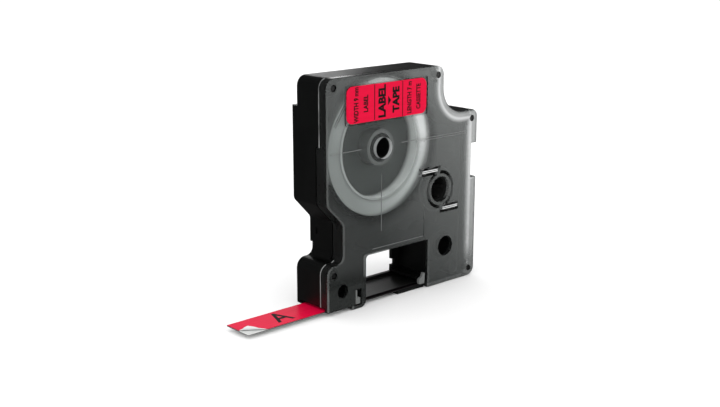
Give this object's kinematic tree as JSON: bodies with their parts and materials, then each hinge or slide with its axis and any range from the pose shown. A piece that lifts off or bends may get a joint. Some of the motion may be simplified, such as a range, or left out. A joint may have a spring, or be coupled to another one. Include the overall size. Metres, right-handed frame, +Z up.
{
  "type": "label tape cassette",
  "caption": "Label tape cassette on its narrow edge: black rear case, smoky see-through cover, red label and a short tail of red tape with a peeled corner.",
  "frame": {"origin": "middle of the whole part's footprint, on the surface it stands on", "axes": "+X to the right across the cover, away from the tape tail; +Y from the cover to the rear of the case; +Z up"},
  "size_m": [0.0844, 0.0144, 0.0649],
  "materials": {
    "black_case": "satin",
    "smoky_cover": "polished",
    "label_red": "satin",
    "tape_red": "satin",
    "liner_white": "matte",
    "strand_pale": "satin",
    "core_grey": "satin",
    "roll_pale": "matte",
    "slip_film": "satin",
    "roller_grey": "satin",
    "ribbon_core_grey": "satin",
    "ribbon_black": "satin",
    "spring_steel": "bright",
    "takeup_black": "satin",
    "pin_steel": "bright",
    "clip_pale": "polished"
  },
  "bodies": {
    "case": {"rear_case": "black_case", "front_cover": "smoky_cover", "front_label": "label_red", "tape_supply_strand": "strand_pale", "ribbon_strand": "ribbon_black", "ribbon_brake_spring": "spring_steel", "ribbon_entry_pin": "pin_steel", "ribbon_peel_pin": "pin_steel", "window_guide_clip": "clip_pale", "exit_guide_clip": "clip_pale"},
    "tape_run": {"label_tape": "tape_red", "tape_liner": "liner_white"},
    "tape_spool": {"tape_core": "core_grey", "tape_roll": "roll_pale", "front_slip_disc": "slip_film", "rear_slip_disc": "slip_film"},
    "upper_roller": {"upper_guide_roller": "roller_grey"},
    "lower_roller": {"lower_guide_roller": "roller_grey"},
    "ribbon_supply": {"ribbon_supply_core": "ribbon_core_grey", "ribbon_supply_roll": "ribbon_black"},
    "ribbon_takeup": {"ribbon_takeup_core": "takeup_black", "ribbon_takeup_roll": "ribbon_black"},
    "return_roller": {"ribbon_return_roller": "roller_grey"}
  },
  "joints": [
    {"name": "tape_feed", "type": "slide", "parent": "case", "child": "tape_run", "axis": [-1, 0, 0], "range_m": [0, 0.01]},
    {"name": "tape_spool_spin", "type": "hinge", "parent": "case", "child": "tape_spool", "pos_m": [0.00427, 0, 0.0442], "axis": [0, 1, 0], "continuous": true},
    {"name": "upper_roller_spin", "type": "hinge", "parent": "case", "child": "upper_roller", "pos_m": [0.03412, 0, 0.0447], "axis": [0, 1, 0], "continuous": true},
    {"name": "lower_roller_spin", "type": "hinge", "parent": "case", "child": "lower_roller", "pos_m": [0.03412, 0, 0.0035], "axis": [0, 1, 0], "continuous": true},
    {"name": "ribbon_supply_spin", "type": "hinge", "parent": "case", "child": "ribbon_supply", "pos_m": [0.02922, 0, 0.0115], "axis": [0, 1, 0], "continuous": true},
    {"name": "ribbon_takeup_spin", "type": "hinge", "parent": "case", "child": "ribbon_takeup", "pos_m": [0.02672, 0, 0.029], "axis": [0, 1, 0], "continuous": true},
    {"name": "return_roller_spin", "type": "hinge", "parent": "case", "child": "return_roller", "pos_m": [-0.00528, 0, 0.0177], "axis": [0, 1, 0], "continuous": true}
  ],
  "couplings": [
    {"joint": "tape_spool_spin", "follows": "tape_feed", "rad_per_m": 51.086},
    {"joint": "upper_roller_spin", "follows": "tape_feed", "rad_per_m": 481.93},
    {"joint": "lower_roller_spin", "follows": "tape_feed", "rad_per_m": 481.93},
    {"joint": "ribbon_supply_spin", "follows": "tape_feed", "rad_per_m": 165.29},
    {"joint": "return_roller_spin", "follows": "tape_feed", "rad_per_m": 645.16},
    {"joint": "ribbon_takeup_spin", "follows": "tape_feed", "rad_per_m": -180.18}
  ]
}
